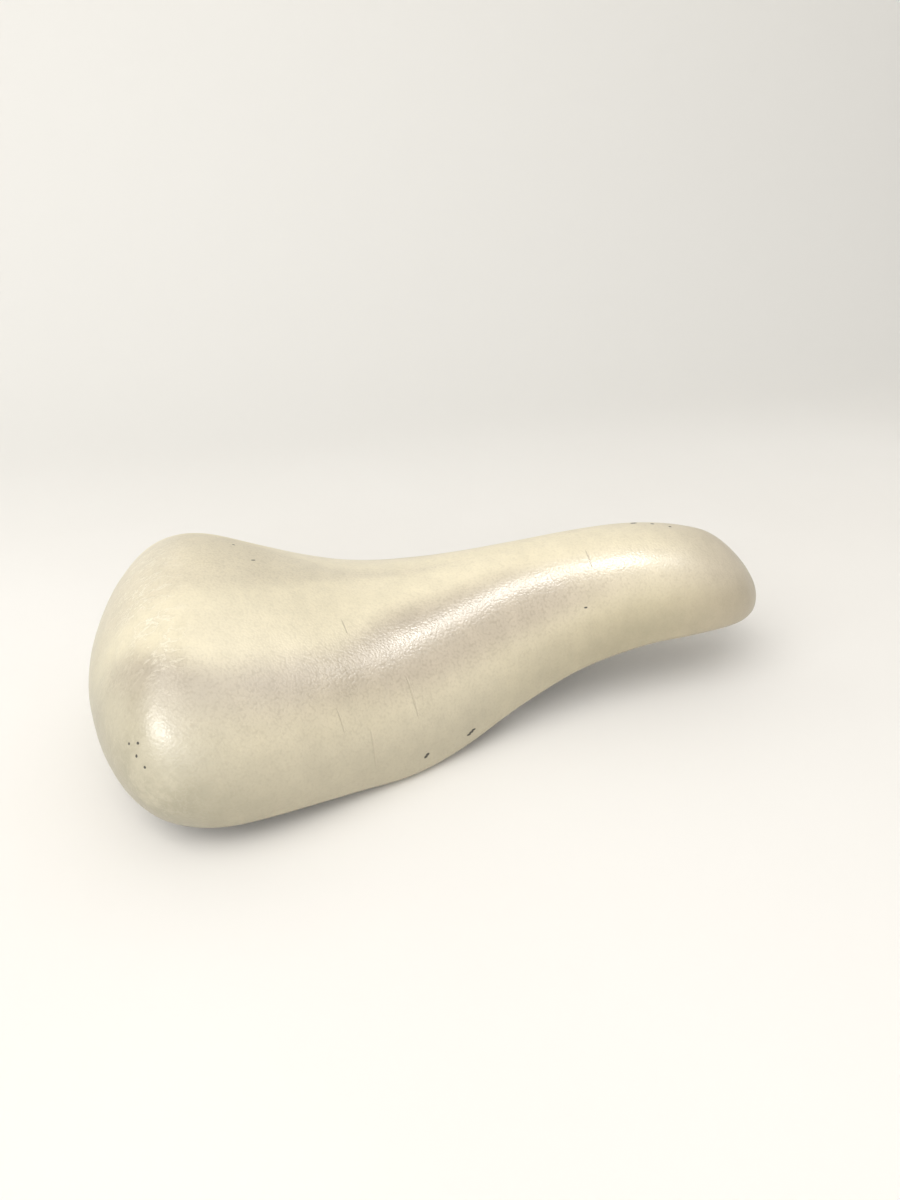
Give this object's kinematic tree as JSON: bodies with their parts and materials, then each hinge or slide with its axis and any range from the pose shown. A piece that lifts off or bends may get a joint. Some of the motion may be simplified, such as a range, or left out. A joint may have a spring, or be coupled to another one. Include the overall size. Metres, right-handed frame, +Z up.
{
  "type": "bicycle saddle",
  "caption": "Padded bicycle saddle with a smooth vinyl cover, wide rounded rear wings, a slim drooping nose and a pair of steel rails underneath for a seat post clamp.",
  "frame": {"origin": "on the plane that the rails' straight stretch stands on, below the middle of the saddle's length and width", "axes": "+X to the nose, +Y to the rider's left, +Z up"},
  "size_m": [0.2713, 0.1526, 0.076],
  "materials": {
    "cover": "semi-gloss cream vinyl with a fine pebble grain, scuffed and yellowed with age",
    "foam": "matt open-cell polyurethane foam, yellowed",
    "shell": "moulded black nylon, lightly textured",
    "rail": "chrome plated steel bar, slightly dulled",
    "strap": "pressed sheet steel, zinc plated",
    "screw": "zinc plated steel, cross recess",
    "staple": "galvanised steel wire"
  },
  "bodies": {
    "root": {"cover": "cover", "foam_padding": "foam", "base_shell": "shell", "rail_left": "rail", "rail_right": "rail", "rear_rail_clamp_left": "strap", "rear_rail_clamp_right": "strap", "nose_rail_clamp": "strap", "rear_rail_clamp_left_screw_outer": "screw", "rear_rail_clamp_left_screw_inner": "screw", "rear_rail_clamp_right_screw_outer": "screw", "rear_rail_clamp_right_screw_inner": "screw", "nose_rail_clamp_screw": "screw", "cover_staple_01": "staple", "cover_staple_02": "staple", "cover_staple_03": "staple", "cover_staple_04": "staple", "cover_staple_05": "staple", "cover_staple_06": "staple", "cover_staple_07": "staple", "cover_staple_08": "staple", "cover_staple_09": "staple", "cover_staple_10": "staple", "cover_staple_11": "staple", "cover_staple_12": "staple", "cover_staple_13": "staple", "cover_staple_14": "staple", "cover_staple_15": "staple", "cover_staple_16": "staple", "cover_staple_17": "staple", "cover_staple_18": "staple", "cover_staple_19": "staple", "cover_staple_20": "staple", "cover_staple_21": "staple", "cover_staple_22": "staple"}
  },
  "joints": []
}
